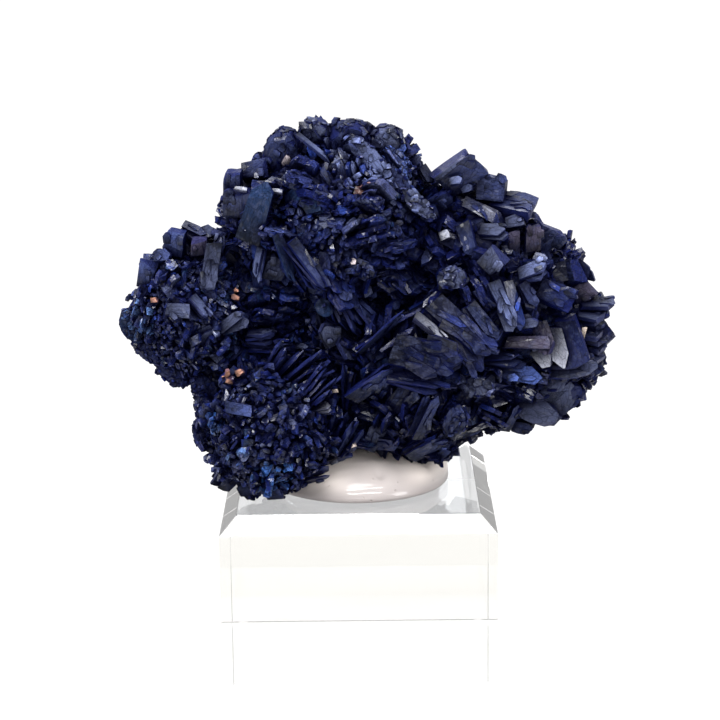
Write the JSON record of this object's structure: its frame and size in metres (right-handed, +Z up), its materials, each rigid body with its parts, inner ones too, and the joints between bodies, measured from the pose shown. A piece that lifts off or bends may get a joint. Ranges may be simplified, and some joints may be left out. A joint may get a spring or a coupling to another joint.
{
  "type": "azurite specimen",
  "caption": "Dark blue azurite crystal cluster held by a puck of mounting putty on a clear bevelled display block.",
  "frame": {"origin": "middle of the display block's bottom face", "axes": "+Z up, +X to the right seen from the front, +Y away from the front"},
  "size_m": [0.0924, 0.0517, 0.1014],
  "materials": {
    "clear_acrylic": "polished, clear and see-through, with sharp bevelled edges",
    "mounting_putty": "smooth pinkish beige putty with a soft gloss",
    "azurite": "dark navy tabular crystals with glassy faces"
  },
  "bodies": {
    "root": {"acrylic_block": "clear_acrylic", "putty_puck": "mounting_putty", "azurite_cluster": "azurite"}
  },
  "joints": []
}
